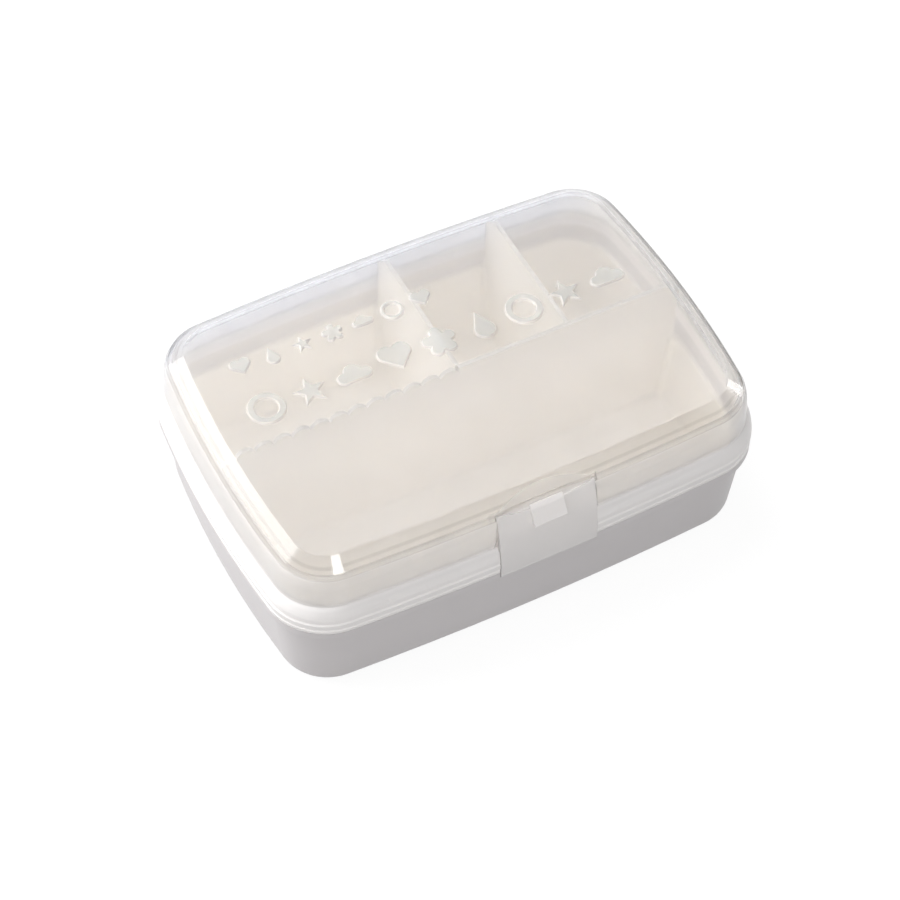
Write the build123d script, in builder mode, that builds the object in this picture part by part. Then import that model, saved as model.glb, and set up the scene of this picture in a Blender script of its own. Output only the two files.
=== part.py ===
from build123d import *
from math import atan2, cos, hypot, pi, radians, sin, sqrt
import os

os.makedirs("parts", exist_ok=True)

# Closed storage box, millimetres. X runs along the length, Y towards the hinge, Z up.
# The origin is the middle of the underside. Offsets are measured outwards from the rim outline.

# Rim outline seen from above: four bowed sides and round corners
half_length = 90.0
half_width = 62.7
end_bow_radius = 368.0
side_bow_radius = 1262.0
corner_radius = 21.5
core_inset = 12.0

# Base
rim_top = 34.5
rim_height = 2.7
rim_overhang = 1.9
rim_bevel = 0.5
base_wall = 2.1
base_draft = 2.4
base_floor = 2.2
foot_height = 5.0
foot_inset = 4.6
inner_fillet = 2.0
lip_height = 5.1
lip_bevel = 0.4

# Lid
lid_wall = 1.8
seam_gap = 0.2
flange_wall = 2.2
flange_height = 6.3
flange_overhang = 2.5
cove_height = 4.5
cove_bulge = 0.35
bead_inset = 0.4
bead_drop = 1.0
bead_rise = 1.4
groove_depth = 0.5
wall_height = 8.0
wall_draft = 0.55
shoulder_height = 5.3
shoulder_run = 1.85
bevel_height = 4.1
bevel_run = 5.2
channel_depth = 7.1
lip_gap = 0.4

# Seal in the lid's channel
seal_gap = 0.2
seal_width = 1.7
seal_height = 1.9

# Tray
tray_gap = 0.4
tray_wall = 1.3
tray_floor = 1.3
tray_top = 33.5
tray_fillet = 1.1
tray_fillet_height = 1.7
guide_width = 1.2
guide_reach = 2.0
guide_gap = 0.15

# Dividers
plate = 1.5
plate_gap = 0.3
lid_room = 0.5
divider_shoulder_drop = 4.2
divider_bevel = 5.3
mid_x = 1.0
right_x = 42.0
scallop_count = 12
scallop_rise = 2.6
scallop_start = 11.4
rib_reach = 1.5
cross_gap = 0.1

# Latch and its pocket
latch_x = 1.7
latch_half = 17.5
pocket_half = 17.7
pocket_flare = 1.2
pocket_top_inset = 5.5
pocket_low_inset = 4.0
pocket_wall = 1.6
pocket_skin = 0.65
pocket_bend_low = 48.0
pocket_bend_high = 54.0
ledge_height = 1.8
ledge_slope = 0.4
latch_axis_inset = 1.3
latch_axis_z = 33.2
barrel_radius = 1.6
barrel_gap = 0.3
trunnion_radius = 0.7
trunnion_length = 1.8
trunnion_gap = 0.05
latch_plate = 1.7
latch_gap = 0.3
latch_mid_z = 46.5
latch_mid_inset = 1.1
latch_end_inset = 4.6
latch_thinning = 0.2
arch_end_z = 58.6
arch_mid_z = 56.9
arch_step = 0.2
hook_half = 12.0
hook_height = 2.2
nub_half = 5.8
nub_line = [
    (-2.6, -7.4),
    (-3.7, -2.5),
    (-3.8, -1.8),
    (-4.6, -0.9),
    (-4.6, -0.4),
    (-4.2, -0.2),
    (-3.0, -1.6),
    (0.1, -6.4),
    (0.1, -7.0),
    (-0.5, -7.2),
]
scoop_depth = 0.87
scoop_half = 18.5
scoop_tilt = 43.0

# Rear hinge
hinge_back = 3.9
hinge_z = 33.0
hinge_x = 45.0
knuckle_width = 12.0
knuckle_radius = 3.0
bar_radius = 1.5
bar_gap = 0.06
mouth_half_angle = 40.0
ear_width = 3.0
ear_radius = 2.6
ear_gap = 0.3
ear_drop = 10.5
ear_root = 3.7
ear_step = 0.1
arm_bottom_gap = 0.4
arm_height = 3.6
stop_half = 3.0
stop_thickness = 1.6
stop_gap = 0.15
lid_opening = 110.0

# Raised motifs on the lid
motif_rise = 0.8
motif_root = 0.2
motif_taper = 35.0
motif_size = 13.5
motif_pitch = 15.6
motif_start_x = -62.5
motif_y = 10.5
small_size = 8.5
small_pitch = 10.9
small_y = 29.5


def corner_centre():
    """Centre of the corner arc that touches both bowed sides from inside."""
    ax, by = half_length - end_bow_radius, half_width - side_bow_radius
    ra, rb = end_bow_radius - corner_radius, side_bow_radius - corner_radius
    dx, dy = -ax, by
    d = hypot(dx, dy)
    t = (ra**2 - rb**2 + d**2) / (2 * d)
    h = sqrt(ra**2 - t**2)
    return ax + t * dx / d - h * dy / d, t * dy / d + h * dx / d


def outline_points(offset):
    """Ends and middle of the first quadrant's corner arc, moved out by offset."""
    cx, cy = corner_centre()
    ax, by = half_length - end_bow_radius, half_width - side_bow_radius
    k = (end_bow_radius + offset) / (end_bow_radius - corner_radius)
    end = (ax + (cx - ax) * k, cy * k)
    k = (side_bow_radius + offset) / (side_bow_radius - corner_radius)
    side = (cx * k, by + (cy - by) * k)
    mx, my = (end[0] + side[0]) / 2 - cx, (end[1] + side[1]) / 2 - cy
    m = (corner_radius + offset) / hypot(mx, my)
    return end, (cx + mx * m, cy + my * m), side


def draw_outline(offset):
    """The whole outline, from the middle of the right end, in the active line."""
    e, m, s = outline_points(offset)
    a, b = half_length + offset, half_width + offset
    half_y = e[1] / 2
    half_x = half_length - end_bow_radius + sqrt((end_bow_radius + offset) ** 2 - half_y**2)
    ThreePointArc((a, 0), (half_x, half_y), e)
    ThreePointArc(e, m, s)
    ThreePointArc(s, (0, b), (-s[0], s[1]))
    ThreePointArc((-s[0], s[1]), (-m[0], m[1]), (-e[0], e[1]))
    ThreePointArc((-e[0], e[1]), (-a, 0), (-e[0], -e[1]))
    ThreePointArc((-e[0], -e[1]), (-m[0], -m[1]), (-s[0], -s[1]))
    ThreePointArc((-s[0], -s[1]), (0, -b), (s[0], -s[1]))
    ThreePointArc((s[0], -s[1]), (m[0], -m[1]), (e[0], -e[1]))
    ThreePointArc((e[0], -e[1]), (half_x, -half_y), (a, 0))


def inset_line(points, distance):
    """An open line moved to its left by distance, with mitred corners."""
    moved = []
    for i, (x, z) in enumerate(points):
        before = points[max(i - 1, 0)]
        after = points[min(i + 1, len(points) - 1)]
        start = (x, z) if i == 0 else before
        first = points[1] if i == 0 else (x, z)
        last = (x, z) if i == len(points) - 1 else after
        back = before if i == len(points) - 1 else (x, z)
        d1 = atan2(first[1] - start[1], first[0] - start[0])
        d2 = atan2(last[1] - back[1], last[0] - back[0])
        turn = (d1 + d2) / 2
        reach = distance / cos((d2 - d1) / 2)
        moved.append((x - reach * sin(turn), z + reach * cos(turn)))
    return moved


def outline_y(x, offset=0.0):
    """Y of the back side's outline at x."""
    radius = side_bow_radius + offset
    return half_width - side_bow_radius + sqrt(radius**2 - x**2)


def front(offset, z):
    """A point of a front section in a YZ sketch."""
    return -(half_width + offset), z


section = Plane(origin=(half_length, 0, 0), x_dir=(1, 0, 0), z_dir=(0, -1, 0))
with BuildLine() as rim_line:
    draw_outline(0)
rim_path = rim_line.wire()

# Sizes that follow from the driving ones
rim_bottom = rim_top - rim_height
lip_top = rim_top + lip_height
lip_outer = -(flange_wall + lip_gap)
base_inner_top = -(rim_overhang + base_wall)
base_outer_foot = -(rim_overhang + base_draft)
base_inner_foot = base_outer_foot - base_wall
flange_bottom = rim_top + seam_gap
flange_top = flange_bottom + flange_height
cove_top = flange_top + cove_height
channel_top = flange_bottom + channel_depth
bevel_offset = -(flange_overhang + wall_draft + shoulder_run)
wall_top = cove_top + wall_height
bevel_z = wall_top + shoulder_height
lid_top = bevel_z + bevel_height
divider_top = lid_top - lid_wall - lid_room
divider_shoulder = divider_top - divider_shoulder_drop
tray_floor_top = base_floor + tray_floor
tray_outer_top = base_inner_top - tray_gap
tray_outer_foot = base_inner_foot - tray_gap
tray_inner_top = tray_outer_top - tray_wall
tray_inner_foot = tray_outer_foot - tray_wall
latch_end_z = arch_end_z - arch_step
hinge_y = half_width + hinge_back
knuckles = [-hinge_x, hinge_x]

# Base: floor, wall, rim and lip
with BuildPart() as base:
    with BuildSketch(section):
        with BuildLine():
            foot = (base_outer_foot - foot_inset, 0)
            ThreePointArc(
                foot,
                (base_outer_foot - 0.35 * foot_inset, 0.3 * foot_height),
                (base_outer_foot, foot_height),
            )
            Polyline(
                (base_outer_foot, foot_height),
                (-rim_overhang, rim_bottom - rim_bevel),
                (0, rim_bottom),
                (0, rim_top),
                (lip_outer, rim_top),
                (lip_outer, lip_top - lip_bevel),
                (lip_outer - lip_bevel, lip_top),
                (base_inner_top, lip_top),
                (base_inner_top, rim_bottom),
                (base_inner_foot, foot_height),
                (base_inner_foot - inner_fillet, base_floor),
                (-core_inset, base_floor),
                (-core_inset, 0),
                foot,
            )
        make_face()
    sweep(path=rim_path)
    with BuildSketch(Plane.XY):
        with BuildLine():
            draw_outline(-core_inset)
        make_face()
    extrude(amount=base_floor)

    # Hinge ears with a bar between each pair
    for x in knuckles:
        inner = knuckle_width / 2 + ear_gap
        for start in (x - inner - ear_width, x + inner):
            with BuildSketch(Plane.YZ.offset(start)):
                with Locations((hinge_y, hinge_z)):
                    Circle(ear_radius)
                with BuildLine():
                    root = half_width - ear_root
                    low = ear_radius * sin(radians(45))
                    Polyline(
                        (root, rim_top - ear_step),
                        (hinge_y, rim_top - ear_step),
                        (hinge_y + low, hinge_z - low),
                        (root, rim_top - ear_drop),
                        close=True,
                    )
                make_face()
            extrude(amount=ear_width)
        with BuildSketch(Plane.YZ.offset(x - inner - ear_width / 2)):
            with Locations((hinge_y, hinge_z)):
                Circle(bar_radius)
        extrude(amount=2 * inner + ear_width)

    # Notch for the latch, with room for its barrel and holes for its trunnions
    with BuildSketch(Plane.YZ.offset(latch_x - pocket_half)):
        with BuildLine():
            Polyline(
                front(-rim_overhang, rim_bottom - 2 * rim_bevel),
                front(-rim_overhang, rim_top + seam_gap),
                front(core_inset, rim_top + seam_gap),
                front(core_inset, rim_bottom - 2 * rim_bevel),
                close=True,
            )
        make_face()
        with Locations(front(-latch_axis_inset, latch_axis_z)):
            Circle(barrel_radius + barrel_gap)
    extrude(amount=2 * pocket_half, mode=Mode.SUBTRACT)
    trunnion_half = pocket_half + trunnion_length + barrel_gap
    with BuildSketch(Plane.YZ.offset(latch_x - trunnion_half)):
        with Locations(front(-latch_axis_inset, latch_axis_z)):
            Circle(trunnion_radius + trunnion_gap)
    extrude(amount=2 * trunnion_half, mode=Mode.SUBTRACT)
base.part.label = "base"
export_step(base.part, "parts/base.step")

def along(z, low, high, low_z, high_z):
    """Offset at z on a straight wall between two heights."""
    return low + (high - low) * (z - low_z) / (high_z - low_z)


def tray_face(z):
    """Offset of the tray wall's inner face at z."""
    low_z = tray_floor_top + tray_fillet_height
    return along(z, tray_inner_foot, tray_inner_top, low_z, tray_top)


# Tray: wall and floor in one profile, with pairs of ribs that guide the dividers
with BuildPart() as tray:
    with BuildSketch(section):
        with BuildLine():
            Polyline(
                (-core_inset, base_floor),
                (tray_outer_foot - inner_fillet, base_floor),
                (tray_outer_foot, foot_height),
                (tray_outer_top, rim_bottom),
                (tray_outer_top, tray_top),
                (tray_inner_top, tray_top),
                (tray_inner_foot, tray_floor_top + tray_fillet_height),
                (tray_inner_foot - tray_fillet, tray_floor_top),
                (-core_inset, tray_floor_top),
                close=True,
            )
        make_face()
    sweep(path=rim_path)
    with BuildSketch(Plane.XY.offset(base_floor)):
        with BuildLine():
            draw_outline(-core_inset)
        make_face()
    extrude(amount=tray_floor)

    rib_low = tray_floor_top + tray_fillet_height
    sunk = tray_wall / 2
    slot_half = plate / 2 + guide_gap
    for side in (-1, 1):
        for start in (-slot_half - guide_width, slot_half):
            with BuildSketch(Plane.XZ.offset(-start - guide_width)):
                with BuildLine():
                    Polyline(
                        (side * (half_length + tray_face(rib_low) + sunk), rib_low),
                        (side * (half_length + tray_face(tray_top) + sunk), tray_top),
                        (side * (half_length + tray_face(tray_top) - guide_reach), tray_top),
                        (side * (half_length + tray_face(rib_low) - guide_reach), rib_low),
                        close=True,
                    )
                make_face()
            extrude(amount=guide_width)
    for x in (mid_x, right_x):
        for start in (x - slot_half - guide_width, x + slot_half):
            with BuildSketch(Plane.YZ.offset(start)):
                with BuildLine():
                    Polyline(
                        (outline_y(start, tray_face(rib_low)) + sunk, rib_low),
                        (outline_y(start, tray_face(tray_top)) + sunk, tray_top),
                        (outline_y(start, tray_face(tray_top)) - guide_reach, tray_top),
                        (outline_y(start, tray_face(rib_low)) - guide_reach, rib_low),
                        close=True,
                    )
                make_face()
            extrude(amount=guide_width)
tray.part.label = "tray"
export_step(tray.part, "parts/tray.step")

# Side line of every divider: it follows the tray's wall, then the lid's bevel
divider_line = [
    (tray_inner_foot - tray_fillet - plate_gap, tray_floor_top),
    (tray_inner_foot - plate_gap, tray_floor_top + tray_fillet_height),
    (tray_inner_top - plate_gap, tray_top),
    (tray_inner_top - plate_gap, divider_shoulder),
    (tray_inner_top - plate_gap - divider_bevel, divider_top),
]

# Long divider: scallops along the top of its left part, ribs for the cross dividers
scallop_first = -half_length + scallop_start
scallop_pitch = (mid_x - scallop_first) / scallop_count
cusp_z = divider_top - scallop_rise
cusp_share = (cusp_z - divider_shoulder) / (divider_top - divider_shoulder)
with BuildPart() as long_divider:
    with BuildSketch(Plane.XZ):
        with BuildLine():
            left = [(-half_length - offset, z) for offset, z in divider_line[:-1]]
            right = [(half_length + offset, z) for offset, z in divider_line]
            edge = -half_length - divider_line[-2][0] + cusp_share * divider_bevel
            Polyline(
                (scallop_first, cusp_z),
                (edge, cusp_z),
                *reversed(left),
                *right,
                (mid_x, divider_top),
                (mid_x, cusp_z),
            )
            for i in range(scallop_count):
                x = scallop_first + i * scallop_pitch
                ThreePointArc(
                    (x, cusp_z),
                    (x + scallop_pitch / 2, divider_top),
                    (x + scallop_pitch, cusp_z),
                )
        make_face()
    extrude(amount=plate / 2, both=True)
    for x in (mid_x, right_x):
        for start in (x - slot_half - guide_width, x + slot_half):
            with BuildSketch(Plane.XY.offset(rib_low)):
                with Locations((start + guide_width / 2, plate / 4)):
                    Rectangle(guide_width, rib_reach + plate / 4, align=(Align.CENTER, Align.MIN))
            extrude(amount=divider_shoulder - rib_low)
long_divider.part.label = "long_divider"
export_step(long_divider.part, "parts/long_divider.step")

# Cross dividers: plates from the long divider's ribs to the back wall
for name, x in (("cross_divider_mid", mid_x), ("cross_divider_right", right_x)):
    with BuildPart() as cross_divider:
        with BuildSketch(Plane.YZ.offset(x)):
            with BuildLine():
                Polyline(
                    (plate / 2 + cross_gap, tray_floor_top),
                    *[(outline_y(x, offset), z) for offset, z in divider_line],
                    (plate / 2 + cross_gap, divider_top),
                    close=True,
                )
            make_face()
        extrude(amount=plate / 2, both=True)
    cross_divider.part.label = name
    export_step(cross_divider.part, f"parts/{name}.step")


def star(size):
    """Five points in the active sketch."""
    reach = [size / 2, 0.22 * size]
    points = [
        (-reach[i % 2] * sin(pi * i / 5), reach[i % 2] * cos(pi * i / 5))
        for i in range(10)
    ]
    Polygon(*points, align=None)


def heart(size):
    """A tilted square with a round on each of its two upper sides."""
    square = 0.55 * size
    middle = square / sqrt(8)
    Rectangle(square, square, rotation=45)
    with Locations((-middle, middle), (middle, middle)):
        Circle(square / 2)


def cloud(size):
    """Three rounds on a flat base."""
    with Locations((0, -0.12 * size)):
        Rectangle(0.56 * size, 0.24 * size)
    with Locations((-0.28 * size, -0.04 * size), (0.28 * size, -0.04 * size)):
        Circle(0.2 * size)
    with Locations((0, 0.08 * size)):
        Circle(0.27 * size)


def drop(size):
    """A round with two tangents to a point above it."""
    radius, low, tip = 0.3 * size, -0.15 * size, 0.5 * size
    rise = radius * radius / (tip - low)
    reach = sqrt(radius**2 - rise**2)
    with Locations((0, low)):
        Circle(radius)
    Polygon((0, tip), (reach, low + rise), (-reach, low + rise), align=None)


def flower(size):
    """Five petals round a middle."""
    with PolarLocations(0.29 * size, 5, start_angle=90):
        Circle(0.19 * size)
    Circle(0.2 * size)


def ring(size):
    """A round with a hole."""
    Circle(size / 2)
    Circle(0.27 * size, mode=Mode.SUBTRACT)


def draw_latch_arch(drop_by):
    """Outline of the region below the latch's arched top edge, in an XZ sketch."""
    low = rim_bottom - barrel_radius
    left = latch_x - pocket_half - latch_gap
    right = latch_x + pocket_half + latch_gap
    top = arch_end_z - drop_by
    ThreePointArc((left, top), (latch_x, arch_mid_z - drop_by), (right, top))
    Polyline((right, top), (right, low), (left, low), (left, top))


# Lid section: wall, shoulder and bevel outside, the same at one wall's distance inside
lid_outer = [
    (-flange_overhang, cove_top),
    (-(flange_overhang + wall_draft), wall_top),
    (bevel_offset, bevel_z),
    (bevel_offset - bevel_run, lid_top),
    (-core_inset, lid_top),
]
lid_inner = inset_line(lid_outer, lid_wall)

# Hollow in the bevel above the latch, a shallow cap of a large sphere
scoop_radius = (scoop_half**2 + scoop_depth**2) / (2 * scoop_depth)
scoop_reach = scoop_radius - scoop_depth
scoop_centre = (
    latch_x,
    -(half_width + bevel_offset) - scoop_reach * cos(radians(scoop_tilt)),
    bevel_z + scoop_reach * sin(radians(scoop_tilt)),
)

# Latch pocket: back face, ledge over the flange, room for the latch's barrel, flared sides
ledge_z = channel_top + ledge_height
pocket_back = [
    (-pocket_low_inset, ledge_z),
    (-pocket_low_inset, pocket_bend_low),
    (-pocket_top_inset, pocket_bend_high),
    (-pocket_top_inset, bevel_z - lid_wall / 4),
]
with BuildPart() as pocket:
    with BuildSketch(Plane.YZ.offset(latch_x - pocket_half)):
        with BuildLine():
            Polyline(
                *[front(offset, z) for offset, z in pocket_back],
                front(-pocket_top_inset, lid_top),
                front(core_inset, lid_top),
                front(core_inset, rim_bottom),
                front(pocket_skin - flange_wall, rim_bottom),
                front(pocket_skin - flange_wall, ledge_z - ledge_slope),
                close=True,
            )
        make_face()
        with Locations(front(-latch_axis_inset, latch_axis_z)):
            Circle(barrel_radius + barrel_gap)
    extrude(amount=2 * pocket_half)
    with BuildSketch(Plane.XZ.offset(half_width - core_inset)):
        with BuildLine():
            draw_latch_arch(0)
        make_face()
    extrude(amount=2 * core_inset, mode=Mode.INTERSECT)
    with BuildSketch(Plane.XY.offset(cove_top)):
        for side in (-1, 1):
            x, y = latch_x + side * pocket_half, flange_overhang - half_width
            Polygon(
                (x, y + pocket_flare),
                (x + side * (pocket_flare + core_inset), y - core_inset),
                (x, y - core_inset),
                align=None,
            )
    extrude(amount=lid_top - cove_top)

# Lid
with BuildPart() as lid:
    with BuildSketch(section):
        with BuildLine():
            Polyline(
                (-flange_overhang, cove_top),
                (-flange_overhang - wall_draft, wall_top),
            )
            TangentArc(
                (-flange_overhang - wall_draft, wall_top),
                (bevel_offset, bevel_z),
                tangent=(-wall_draft, wall_height),
            )
            Polyline(
                *lid_outer[2:],
                *reversed(lid_inner),
                (lid_inner[0][0], channel_top),
                (-flange_wall, channel_top),
                (-flange_wall, flange_bottom),
                (0, flange_bottom),
                (0, flange_bottom + bead_drop),
                (-groove_depth, flange_bottom + bead_drop + groove_depth),
                (0, flange_bottom + bead_drop + 2 * groove_depth),
                (0, flange_top - bead_rise - 2 * groove_depth),
                (-groove_depth, flange_top - bead_rise - groove_depth),
                (-bead_inset / 2, flange_top - bead_rise),
                (-bead_inset, flange_top),
            )
            cove_mid = cove_bulge - (bead_inset + flange_overhang) / 2
            ThreePointArc(
                (-bead_inset, flange_top),
                (cove_mid, flange_top + cove_height / 2),
                (-flange_overhang, cove_top),
            )
        make_face()
    sweep(path=rim_path)
    with BuildSketch(Plane.XY.offset(lid_top - lid_wall)):
        with BuildLine():
            draw_outline(-core_inset)
        make_face()
    extrude(amount=lid_wall)

    # Thickening behind the pocket, then the pocket and the hollow
    with BuildSketch(Plane.YZ.offset(latch_x - pocket_half - pocket_wall)):
        with BuildLine():
            middle = -flange_overhang - lid_wall / 2
            Polyline(
                *[front(offset, z) for offset, z in inset_line(pocket_back, pocket_wall)],
                front(bevel_offset - lid_wall / 6, bevel_z - lid_wall / 4),
                front(middle, wall_top),
                front(middle, ledge_z),
                close=True,
            )
        make_face()
    extrude(amount=2 * (pocket_half + pocket_wall))
    add(pocket.part, mode=Mode.SUBTRACT)
    with Locations(scoop_centre):
        Sphere(scoop_radius, mode=Mode.SUBTRACT)

    # Clip knuckles with their arms and stops
    arm_root = outline_y(hinge_x + knuckle_width / 2) - flange_wall / 2
    arm_bottom = rim_top + arm_bottom_gap
    stop_reach = hinge_y - outline_y(hinge_x - stop_half) - stop_gap
    stop_angle = lid_opening - 180
    for x in knuckles:
        with BuildSketch(Plane.YZ.offset(x - knuckle_width / 2)):
            with Locations((hinge_y, hinge_z)):
                Circle(knuckle_radius)
            with BuildLine():
                low = knuckle_radius * sin(radians(45))
                Polyline(
                    (arm_root, arm_bottom),
                    (hinge_y, arm_bottom),
                    (hinge_y + low, hinge_z + low),
                    (arm_root, arm_bottom + arm_height),
                    close=True,
                )
            make_face()
        extrude(amount=knuckle_width)
        with BuildSketch(Plane.YZ.offset(x - stop_half)):
            with Locations(Location((hinge_y, hinge_z), stop_angle)):
                Rectangle(stop_reach, stop_thickness, align=(Align.MIN, Align.CENTER))
        extrude(amount=2 * stop_half)
        with BuildSketch(Plane.YZ.offset(x - knuckle_width / 2)):
            with Locations((hinge_y, hinge_z)):
                Circle(bar_radius + bar_gap)
                reach = 2 * knuckle_radius
                side = reach * sin(radians(mouth_half_angle))
                ahead = reach * cos(radians(mouth_half_angle))
                Polygon((0, 0), (ahead, -side), (ahead, side), align=None)
        extrude(amount=knuckle_width, mode=Mode.SUBTRACT)

    # Raised motifs in two rows, with sloping sides
    with BuildSketch(Plane.XY.offset(lid_top - motif_root)):
        for i, motif in enumerate((ring, star, cloud, heart, flower, drop, ring, star, cloud)):
            with Locations((motif_start_x + i * motif_pitch, motif_y)):
                motif(motif_size)
        for i, motif in enumerate((heart, drop, star, flower, cloud, ring, heart)):
            with Locations((motif_start_x + i * small_pitch, small_y)):
                motif(small_size)
    extrude(amount=motif_root + motif_rise, taper=motif_taper)
lid.part.label = "lid"
export_step(lid.part, "parts/lid.step")

# Seal: a plain ring up against the channel's ceiling
with BuildPart() as lid_seal:
    with BuildSketch(section):
        with BuildLine():
            outer = -flange_wall - seal_gap
            Polyline(
                (outer, channel_top),
                (outer, channel_top - seal_height),
                (outer - seal_width, channel_top - seal_height),
                (outer - seal_width, channel_top),
                close=True,
            )
        make_face()
    sweep(path=rim_path)
lid_seal.part.label = "lid_seal"
export_step(lid_seal.part, "parts/lid_seal.step")

# Latch: arched plate on a barrel, with a hook inside and a nub for the thumb outside
with BuildPart() as latch:
    with BuildSketch(Plane.YZ.offset(latch_x - latch_half)):
        with BuildLine():
            ThreePointArc(
                front(barrel_radius - latch_axis_inset, latch_axis_z),
                front(-latch_mid_inset, latch_mid_z),
                front(-latch_end_inset, latch_end_z),
            )
            skin = pocket_skin - flange_wall + latch_gap
            Polyline(
                front(-latch_end_inset, latch_end_z),
                front(latch_gap - pocket_top_inset, arch_end_z),
                front(latch_gap - pocket_top_inset, latch_end_z - 3 * latch_gap),
                front(-latch_end_inset - latch_thinning, pocket_bend_high),
                front(-latch_mid_inset - latch_plate, latch_mid_z),
                front(-latch_mid_inset - latch_plate + 2 * latch_gap, ledge_z + latch_gap),
                front(skin, ledge_z - latch_gap),
                front(skin, flange_bottom),
                front(-latch_axis_inset, latch_axis_z),
                front(barrel_radius - latch_axis_inset, latch_axis_z),
            )
        make_face()
    extrude(amount=2 * latch_half)
    with BuildSketch(Plane.XZ.offset(half_width - core_inset)):
        with BuildLine():
            draw_latch_arch(latch_gap)
        make_face()
    extrude(amount=2 * core_inset, mode=Mode.INTERSECT)
    with Locations(scoop_centre):
        Sphere(scoop_radius, mode=Mode.SUBTRACT)

    barrel_half = pocket_half - barrel_gap
    with BuildSketch(Plane.YZ.offset(latch_x - barrel_half)):
        with Locations(front(-latch_axis_inset, latch_axis_z)):
            Circle(barrel_radius)
    extrude(amount=2 * barrel_half)
    pin_half = pocket_half + trunnion_length
    with BuildSketch(Plane.YZ.offset(latch_x - pin_half)):
        with Locations(front(-latch_axis_inset, latch_axis_z)):
            Circle(trunnion_radius)
    extrude(amount=2 * pin_half)

    with BuildSketch(Plane.YZ.offset(latch_x - hook_half)):
        with BuildLine():
            tip = latch_gap - pocket_low_inset
            Polyline(
                front(-latch_mid_inset - latch_plate / 2, ledge_z + 1.5 * latch_gap),
                front(tip, ledge_z + 2 * latch_gap),
                front(tip, ledge_z + hook_height),
                front(-latch_mid_inset - latch_plate, ledge_z + 1.5 * hook_height),
                front(-latch_mid_inset - latch_plate / 2, ledge_z + 1.5 * hook_height),
                close=True,
            )
        make_face()
    extrude(amount=2 * hook_half)

    with BuildSketch(Plane.YZ.offset(latch_x - nub_half)):
        with BuildLine():
            Polyline(*[front(offset, bevel_z + z) for offset, z in nub_line], close=True)
        make_face()
    extrude(amount=2 * nub_half)
latch.part.label = "latch"
export_step(latch.part, "parts/latch.step")
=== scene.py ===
import math

import bpy
from mathutils import Matrix, Vector


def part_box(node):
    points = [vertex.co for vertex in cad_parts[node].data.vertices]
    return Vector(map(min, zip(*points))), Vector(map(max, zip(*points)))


# The closed box, in metres: X along its length, Y towards its hinge, Z up.

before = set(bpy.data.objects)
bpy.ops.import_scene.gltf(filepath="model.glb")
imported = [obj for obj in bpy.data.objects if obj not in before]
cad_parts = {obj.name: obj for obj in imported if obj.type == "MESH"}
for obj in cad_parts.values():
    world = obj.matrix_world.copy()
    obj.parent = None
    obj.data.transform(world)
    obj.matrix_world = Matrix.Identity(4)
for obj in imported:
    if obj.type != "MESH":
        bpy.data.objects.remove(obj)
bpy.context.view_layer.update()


# Heights and places on the lid that its finish follows

motif_rise = 0.0008
bevel_height = 0.0041
lip_height = 0.0049
flange_height = 0.0063
cove_height = 0.0045
lid_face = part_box("lid")[1][2] - motif_rise
motif_top = lid_face + motif_rise
bevel_foot = lid_face - bevel_height
flange_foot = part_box("base")[1][2] - lip_height
flange_top = flange_foot + flange_height
cove_top = flange_top + cove_height
# Across this depth towards the hinge the lid takes a painted cool tint
rear_from, rear_to = 0.04, 0.058

latch_x = 0.0017
bevel_foot_y = -0.0578
scoop_half = 0.0185
scoop_depth = 0.00087
scoop_tilt = math.radians(43.0)
scoop_radius = (scoop_half**2 + scoop_depth**2) / (2 * scoop_depth)
scoop_centre = (
    latch_x,
    bevel_foot_y - (scoop_radius - scoop_depth) * math.cos(scoop_tilt),
    bevel_foot + (scoop_radius - scoop_depth) * math.sin(scoop_tilt),
)


# Plastics

white, white_shade = (0.66, 0.63, 0.635, 1), (0.64, 0.61, 0.615, 1)
cream, cream_shade = (0.95, 0.915, 0.85, 1), (0.94, 0.90, 0.83, 1)
# A darker copy of the cream for the long divider: painted shade for its front face, which lies in shadow
shaded_cream, shaded_cream_variant = (0.79, 0.75, 0.69, 1), (0.77, 0.73, 0.665, 1)
haze, warm_haze = (0.99, 0.99, 0.99, 1), (0.985, 0.98, 0.97, 1)
milk, motif_milk = (0.985, 0.96, 0.95, 1), (0.70, 0.73, 0.74, 1)
# Painted cool light: the lid's colours turn bluer towards its rear
rear_painted_cool_tint = (0.86, 0.875, 0.93, 1)
# Warm dark colour for a thin line at the bevel's foot: painted shade where the edge shows dark
bevel_line_shade_tone = (0.25, 0.22, 0.2, 1)
# Black mixed into the upward-facing top edges of the tray and dividers: painted shade
top_shade_tone = (0.0, 0.0, 0.0, 1)

haze_roughness = 0.23
skin_roughness = 0.08
bump_depth = 0.0002
cloud_low, cloud_high = 0.35, 0.65
shade_line_inner, shade_line_outer = 0.0002, 0.0005

# Zones of the frosting: each share of milk is reached between its two heights and holds from there up

step = 0.00005
whole = (0.0, 0.001)
lid_zones = [
    (*whole, 0.82),
    (cove_top - 0.0005, cove_top + 0.0015, 0.42),
    (bevel_foot - 0.0018, bevel_foot - 0.0012, 0.155),
    (lid_face - 2 * step, lid_face - step, 0.2),
    # The motifs' side walls take white milk while their tops are greyer: painted highlight along the raised
    # rims
    (lid_face + step, lid_face + 2 * step, 0.35),
    (motif_top - 2 * step, motif_top - step, 0.34),
]
latch_zones = [(*whole, 0.65)]
seal_zones = [(*whole, 0.9)]


# Shader wiring

class Wire:
    """An output of a node. Sums, differences and products on it add Math nodes."""

    def __init__(self, nodes, socket):
        self.nodes = nodes
        self.socket = socket

    def __add__(self, other):
        return self.nodes.math("ADD", self, other)

    def __sub__(self, other):
        return self.nodes.math("SUBTRACT", self, other)

    def __mul__(self, other):
        return self.nodes.math("MULTIPLY", self, other)

    def __rsub__(self, other):
        return self.nodes.math("SUBTRACT", other, self)

    __radd__ = __add__
    __rmul__ = __mul__


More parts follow.
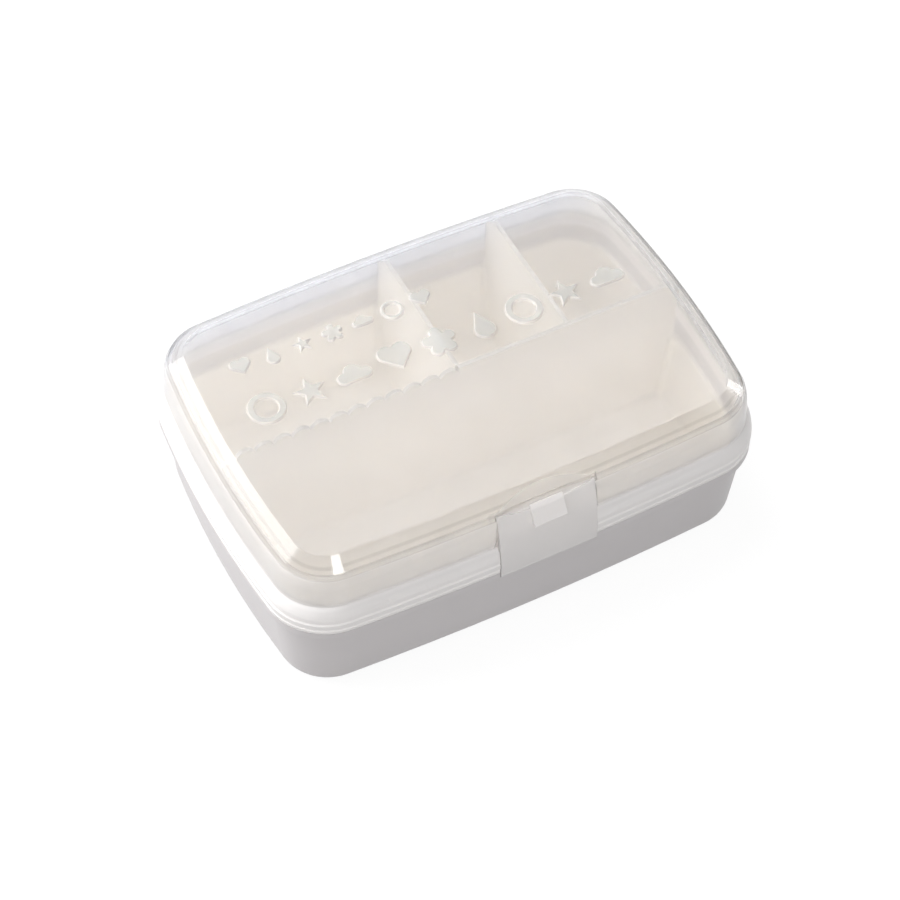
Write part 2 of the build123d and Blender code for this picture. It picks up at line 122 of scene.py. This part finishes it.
class Nodes:
    """The nodes of one material or of the world."""

    def __init__(self, owner):
        owner.use_nodes = True
        self.tree = owner.node_tree
        self.tree.nodes.clear()

    def node(self, kind, settings=None, sockets=(), out=0):
        """Adds a node, sets its values or links to it, and gives back one of its outputs."""
        made = self.tree.nodes.new(kind)
        for key, value in (settings or {}).items():
            setattr(made, key, value)
        pairs = sockets.items() if isinstance(sockets, dict) else enumerate(sockets)
        for key, value in pairs:
            if isinstance(value, Wire):
                self.tree.links.new(value.socket, made.inputs[key])
            else:
                made.inputs[key].default_value = value
        return Wire(self, made.outputs[out] if made.outputs else None)

    def math(self, operation, *values):
        return self.node("ShaderNodeMath", {"operation": operation}, values)

    def place(self):
        return self.node("ShaderNodeTexCoord", out="Object")

    def part(self, vector, axis):
        """One number of a vector."""
        return self.node("ShaderNodeSeparateXYZ", {}, (vector,), out=axis)

    def noise(self, scale, detail=3.0):
        return self.node("ShaderNodeTexNoise", {}, {"Vector": self.place(), "Scale": scale, "Detail": detail})

    def spread(self, wire, low, high, to_low, to_high):
        """Values from low to high, spread between two others."""
        return self.node("ShaderNodeMapRange", {"clamp": True}, (wire, low, high, to_low, to_high))

    def clouds(self, scale):
        return self.spread(self.noise(scale), cloud_low, cloud_high, 0.0, 1.0)

    def blend(self, share, first, second):
        """A colour between two colours."""
        return self.node("ShaderNodeMix", {"data_type": "RGBA"}, {0: share, 6: first, 7: second}, out=2)

    def bump(self, height, strength):
        sockets = {"Height": height, "Strength": strength, "Distance": bump_depth}
        return self.node("ShaderNodeBump", {}, sockets)

    def principled(self, sockets):
        return self.node("ShaderNodeBsdfPrincipled", {}, sockets)

    def shown(self):
        """1 on the rays that show this to the camera, 0 on the rays that light the object."""
        rays = [
            self.node("ShaderNodeLightPath", out=out)
            for out in ("Is Camera Ray", "Is Glossy Ray", "Is Transmission Ray")
        ]
        first_hit = self.math("LESS_THAN", self.node("ShaderNodeLightPath", out="Diffuse Depth"), 0.5)
        return self.math("MAXIMUM", rays[0], self.math("MAXIMUM", rays[1], rays[2])) * first_hit


def moulded(name, colour, shade, roughness, subsurface, top_shade_strength=0.0, top_shade_from=1.0):
    """Satin moulded plastic: faint flow clouds, fine grain, and painted shade that darkens the upward-facing
    top edges above a given height.
    """
    material = bpy.data.materials.new(name)
    nodes = Nodes(material)
    clouds = nodes.clouds(38.0)
    grain = nodes.noise(2600.0, 2.0)
    waves = nodes.noise(120.0, 2.0)
    # Painted shade: faces that point up, above the given height, are mixed towards black
    facing_up = nodes.part(nodes.node("ShaderNodeTexCoord", out="Normal"), 2)
    top_shade = nodes.spread(facing_up, 0.2, 0.5, 0.0, top_shade_strength)
    top_shade = top_shade * nodes.spread(nodes.part(nodes.place(), 2), top_shade_from, top_shade_from + 0.001, 0.0, 1.0)
    tone = nodes.blend(clouds, colour, shade)
    shader = nodes.principled({
        "Base Color": nodes.blend(top_shade, tone, top_shade_tone),
        "Roughness": roughness + 0.08 * grain,
        "IOR": 1.49,
        "Subsurface Weight": subsurface,
        "Subsurface Radius": (1.0, 0.9, 0.8),
        "Subsurface Scale": 0.004,
        "Normal": nodes.bump(grain + 3.0 * waves, 0.12),
    })
    nodes.node("ShaderNodeOutputMaterial", {}, {"Surface": shader})
    return material


def frosted(name, zones, motif_from=1.0, scoop=0.0, bevel_line_strength=0.0):
    """Frosted see-through plastic: haze under a glossy skin, mixed with a share of milk that changes
    from zone to zone. Above motif_from the milk is greyer. The hollow over the latch gets an added
    share of white milk as a painted highlight, the lid's rear gets a painted cool tint, and a painted
    dark line of shade marks the bevel's foot."""
    material = bpy.data.materials.new(name)
    nodes = Nodes(material)
    clouds = nodes.clouds(45.0)
    grain = nodes.noise(2200.0, 2.0)
    normal = nodes.bump(grain, 0.05)
    height = nodes.part(nodes.place(), 2)
    # Painted shade: a thin dark line along the bevel's foot
    from_bevel_foot = nodes.math("ABSOLUTE", height - bevel_foot)
    bevel_line_shade = nodes.spread(from_bevel_foot, shade_line_inner, shade_line_outer, bevel_line_strength, 0.0)
    # Painted cool light: colours are mixed towards a cool tint across the lid's rear
    rear_cool_mask = nodes.spread(nodes.part(nodes.place(), 1), rear_from, rear_to, 0.0, 1.0)
    hazy_tone = nodes.blend(rear_cool_mask, nodes.blend(clouds, haze, warm_haze), rear_painted_cool_tint)
    hazy = nodes.principled({
        "Base Color": nodes.blend(bevel_line_shade, hazy_tone, bevel_line_shade_tone),
        "Roughness": haze_roughness + 0.03 * grain,
        "IOR": 1.12,
        "Transmission Weight": 1.0,
        "Coat Weight": 1.0,
        "Coat Roughness": skin_roughness,
        "Coat IOR": 1.45,
        "Normal": normal,
    })
    on_motif = nodes.spread(height, motif_from, motif_from + 2 * step, 0.0, 1.0)
    milky_tone = nodes.blend(rear_cool_mask, nodes.blend(on_motif, milk, motif_milk), rear_painted_cool_tint)
    milky = nodes.principled({
        "Base Color": nodes.blend(bevel_line_shade, milky_tone, bevel_line_shade_tone),
        "Roughness": 0.3 + 0.06 * grain,
        "IOR": 1.45,
        "Normal": normal,
    })
    share = nodes.spread(clouds, 0.0, 1.0, -0.01, 0.01)
    before = 0.0
    for start, end, level in zones:
        share = share + nodes.spread(height, start, end, 0.0, level - before)
        before = level
    ends = (nodes.place(), scoop_centre)
    from_centre = nodes.node("ShaderNodeVectorMath", {"operation": "DISTANCE"}, ends, out=1)
    # Painted highlight: the hollow over the latch gets more white milk, so it shows lighter
    share = share + nodes.spread(from_centre, scoop_radius + 0.00002, scoop_radius + 0.00006, scoop, 0.0)
    shader = nodes.node("ShaderNodeMixShader", {}, (share, hazy, milky))
    nodes.node("ShaderNodeOutputMaterial", {}, {"Surface": shader})
    return material


base_white = moulded("base_white", white, white_shade, 0.34, 0.15)
# The tray and all dividers get painted shade on their upward-facing top edges above 55 mm
liner_cream = moulded("liner_cream", cream, cream_shade, 0.42, 0.1, 0.35, 0.055)
# The long divider is the same cream plastic as the tray, made darker as painted shade
shaded_divider_cream = moulded("shaded_divider_cream", shaded_cream, shaded_cream_variant, 0.42, 0.1, 0.35, 0.055)
# The lid's last two numbers are a painted highlight in the hollow over the latch and a painted dark line at
# the bevel's foot
frosted_lid = frosted("frosted_lid", lid_zones, motif_top - 2 * step, 0.12, 0.35)
frosted_latch = frosted("frosted_latch", latch_zones)
seal_milky = frosted("seal_milky", seal_zones)

finishes = {
    "base": base_white,
    "tray": liner_cream,
    # The long divider takes the darker cream copy: painted shade
    "long_divider": shaded_divider_cream,
    "cross_divider_mid": liner_cream,
    "cross_divider_right": liner_cream,
    "lid": frosted_lid,
    "lid_seal": seal_milky,
    "latch": frosted_latch,
}
for name, material in finishes.items():
    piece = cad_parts[name]
    piece.data.materials.clear()
    piece.data.materials.append(material)


# Camera, fitted to the box's edges

image_side = 900.0
camera_turn = math.radians(-28.95)
camera_rise = math.radians(51.57)
camera_roll = math.radians(1.71)
camera_reach = 0.9228
focal_pixels = 2767.0
centre_u, centre_v = 453.4, 426.7
sensor_width = 36.0
target = Vector((0.0, 0.0, 0.03))

back = Vector((
    math.sin(camera_turn) * math.cos(camera_rise),
    -math.cos(camera_turn) * math.cos(camera_rise),
    math.sin(camera_rise),
))
level = (-back).cross(Vector((0, 0, 1))).normalized()
upright = level.cross(-back)
right = math.cos(camera_roll) * level + math.sin(camera_roll) * upright
up = -math.sin(camera_roll) * level + math.cos(camera_roll) * upright
camera = bpy.data.objects.new("camera", bpy.data.cameras.new("camera"))
bpy.context.scene.collection.objects.link(camera)
camera.matrix_world = Matrix.LocRotScale(
    target + camera_reach * back,
    Matrix((right, up, back)).transposed(),
    None,
)
camera.data.sensor_width = sensor_width
camera.data.lens = focal_pixels / image_side * sensor_width
camera.data.shift_x = (image_side / 2 - centre_u) / image_side
camera.data.shift_y = (centre_v - image_side / 2) / image_side
camera.data.clip_end = 20.0
bpy.context.scene.camera = camera


# Ground, backdrop and light

floor_half = 4.0
floor_tone = 0.14
floor_glow = 0.9
sky_level = 0.34

material = bpy.data.materials.new("ground")
nodes = Nodes(material)
paint = nodes.node("ShaderNodeBsdfDiffuse", {}, {"Color": (floor_tone, floor_tone, floor_tone, 1)})
glow = nodes.node("ShaderNodeEmission", {}, {"Strength": nodes.shown() * floor_glow})
both = nodes.node("ShaderNodeAddShader", {}, (paint, glow))
nodes.node("ShaderNodeOutputMaterial", {}, {"Surface": both})

mesh = bpy.data.meshes.new("ground")
corners = [(x * floor_half, y * floor_half, 0) for x, y in ((-1, -1), (1, -1), (1, 1), (-1, 1))]
mesh.from_pydata(corners, [], [(0, 1, 2, 3)])
mesh.materials.append(material)
floor = bpy.data.objects.new("ground", mesh)
bpy.context.scene.collection.objects.link(floor)

world = bpy.data.worlds.new("studio")
bpy.context.scene.world = world
nodes = Nodes(world)
strength = nodes.spread(nodes.shown(), 0.0, 1.0, sky_level, 1.0)
sky = nodes.node("ShaderNodeBackground", {}, {"Color": (1, 1, 1, 1), "Strength": strength})
nodes.node("ShaderNodeOutputWorld", {}, {"Surface": sky})


def panel_light(name, place, width, height, power):
    """A soft lamp that faces the box."""
    lamp = bpy.data.lights.new(name, "AREA")
    lamp.shape = "RECTANGLE"
    lamp.size = width
    lamp.size_y = height
    lamp.energy = power
    holder = bpy.data.objects.new(name, lamp)
    bpy.context.scene.collection.objects.link(holder)
    holder.location = place
    holder.rotation_euler = (target - Vector(place)).to_track_quat("-Z", "Y").to_euler()


panel_light("key", (-0.96, 0.69, 0.66), 1.0, 0.9, 14.5)
panel_light("front", (-0.07, -0.92, 1.02), 0.28, 0.28, 2.7)
panel_light("low", (-0.64, -1.1, 0.5), 1.2, 0.7, 6.0)
panel_light("right", (1.3, 0.0, 0.31), 0.3, 0.3, 1.8)
panel_light("top", (-0.27, 0.57, 1.2), 0.9, 0.9, 12.5)

bpy.context.scene.view_settings.view_transform = "Standard"

# Light reaches the compartments through several frosted walls, so it may bounce often
bpy.context.scene.cycles.max_bounces = 24
bpy.context.scene.cycles.diffuse_bounces = 12
